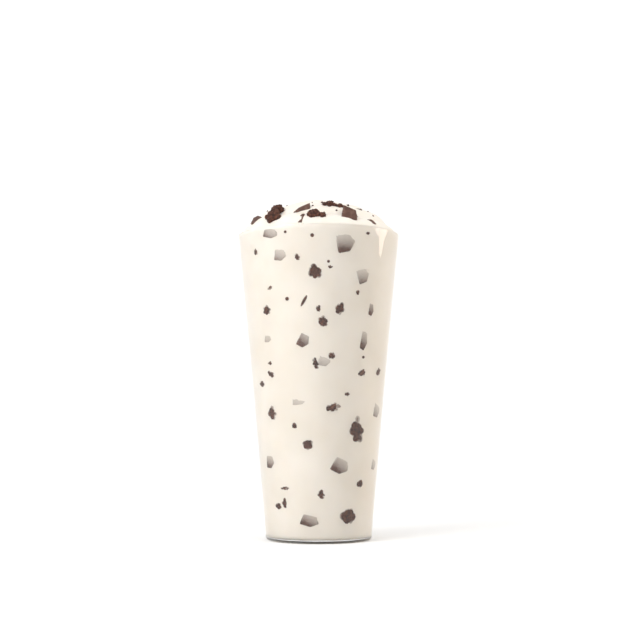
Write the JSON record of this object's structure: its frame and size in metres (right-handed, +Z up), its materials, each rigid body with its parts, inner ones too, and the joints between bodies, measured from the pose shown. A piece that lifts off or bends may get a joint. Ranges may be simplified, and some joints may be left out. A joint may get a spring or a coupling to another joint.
{
  "type": "milkshake in a tumbler",
  "caption": "Tall clear tapered tumbler filled with a vanilla shake, swirled above its rim and topped with chocolate chunks and brownie crumbs.",
  "frame": {"origin": "centre of the tumbler's base, on the surface that it stands on", "axes": "+Z up along the tumbler's axis; the front, as the picture shows it, faces -Y; +X is to the right seen from the front"},
  "size_m": [0.0918, 0.0918, 0.1926],
  "materials": {
    "clear_glass": "clear, polished, thin walled",
    "vanilla_shake": "off-white cream, soft satin",
    "dark_chocolate": "dull dark brown, broken faces",
    "brownie": "dry, very dark brown, crumbly"
  },
  "bodies": {
    "root": {"glass": "clear_glass", "shake": "vanilla_shake", "chocolate_far_left": "dark_chocolate", "chocolate_upper_left": "dark_chocolate", "chocolate_lower_left": "dark_chocolate", "chocolate_right": "dark_chocolate", "chocolate_flake": "dark_chocolate", "chocolate_far_right": "dark_chocolate", "chocolate_right_side": "dark_chocolate", "chocolate_back_right": "dark_chocolate", "chocolate_back": "dark_chocolate", "chocolate_back_shard": "dark_chocolate", "chocolate_back_left": "dark_chocolate", "chocolate_top": "dark_chocolate", "chocolate_left_side": "dark_chocolate", "brownie_left": "brownie", "brownie_front": "brownie", "brownie_top": "brownie", "brownie_right_side": "brownie", "brownie_back_right": "brownie", "brownie_back": "brownie", "brownie_back_left": "brownie"}
  },
  "joints": []
}
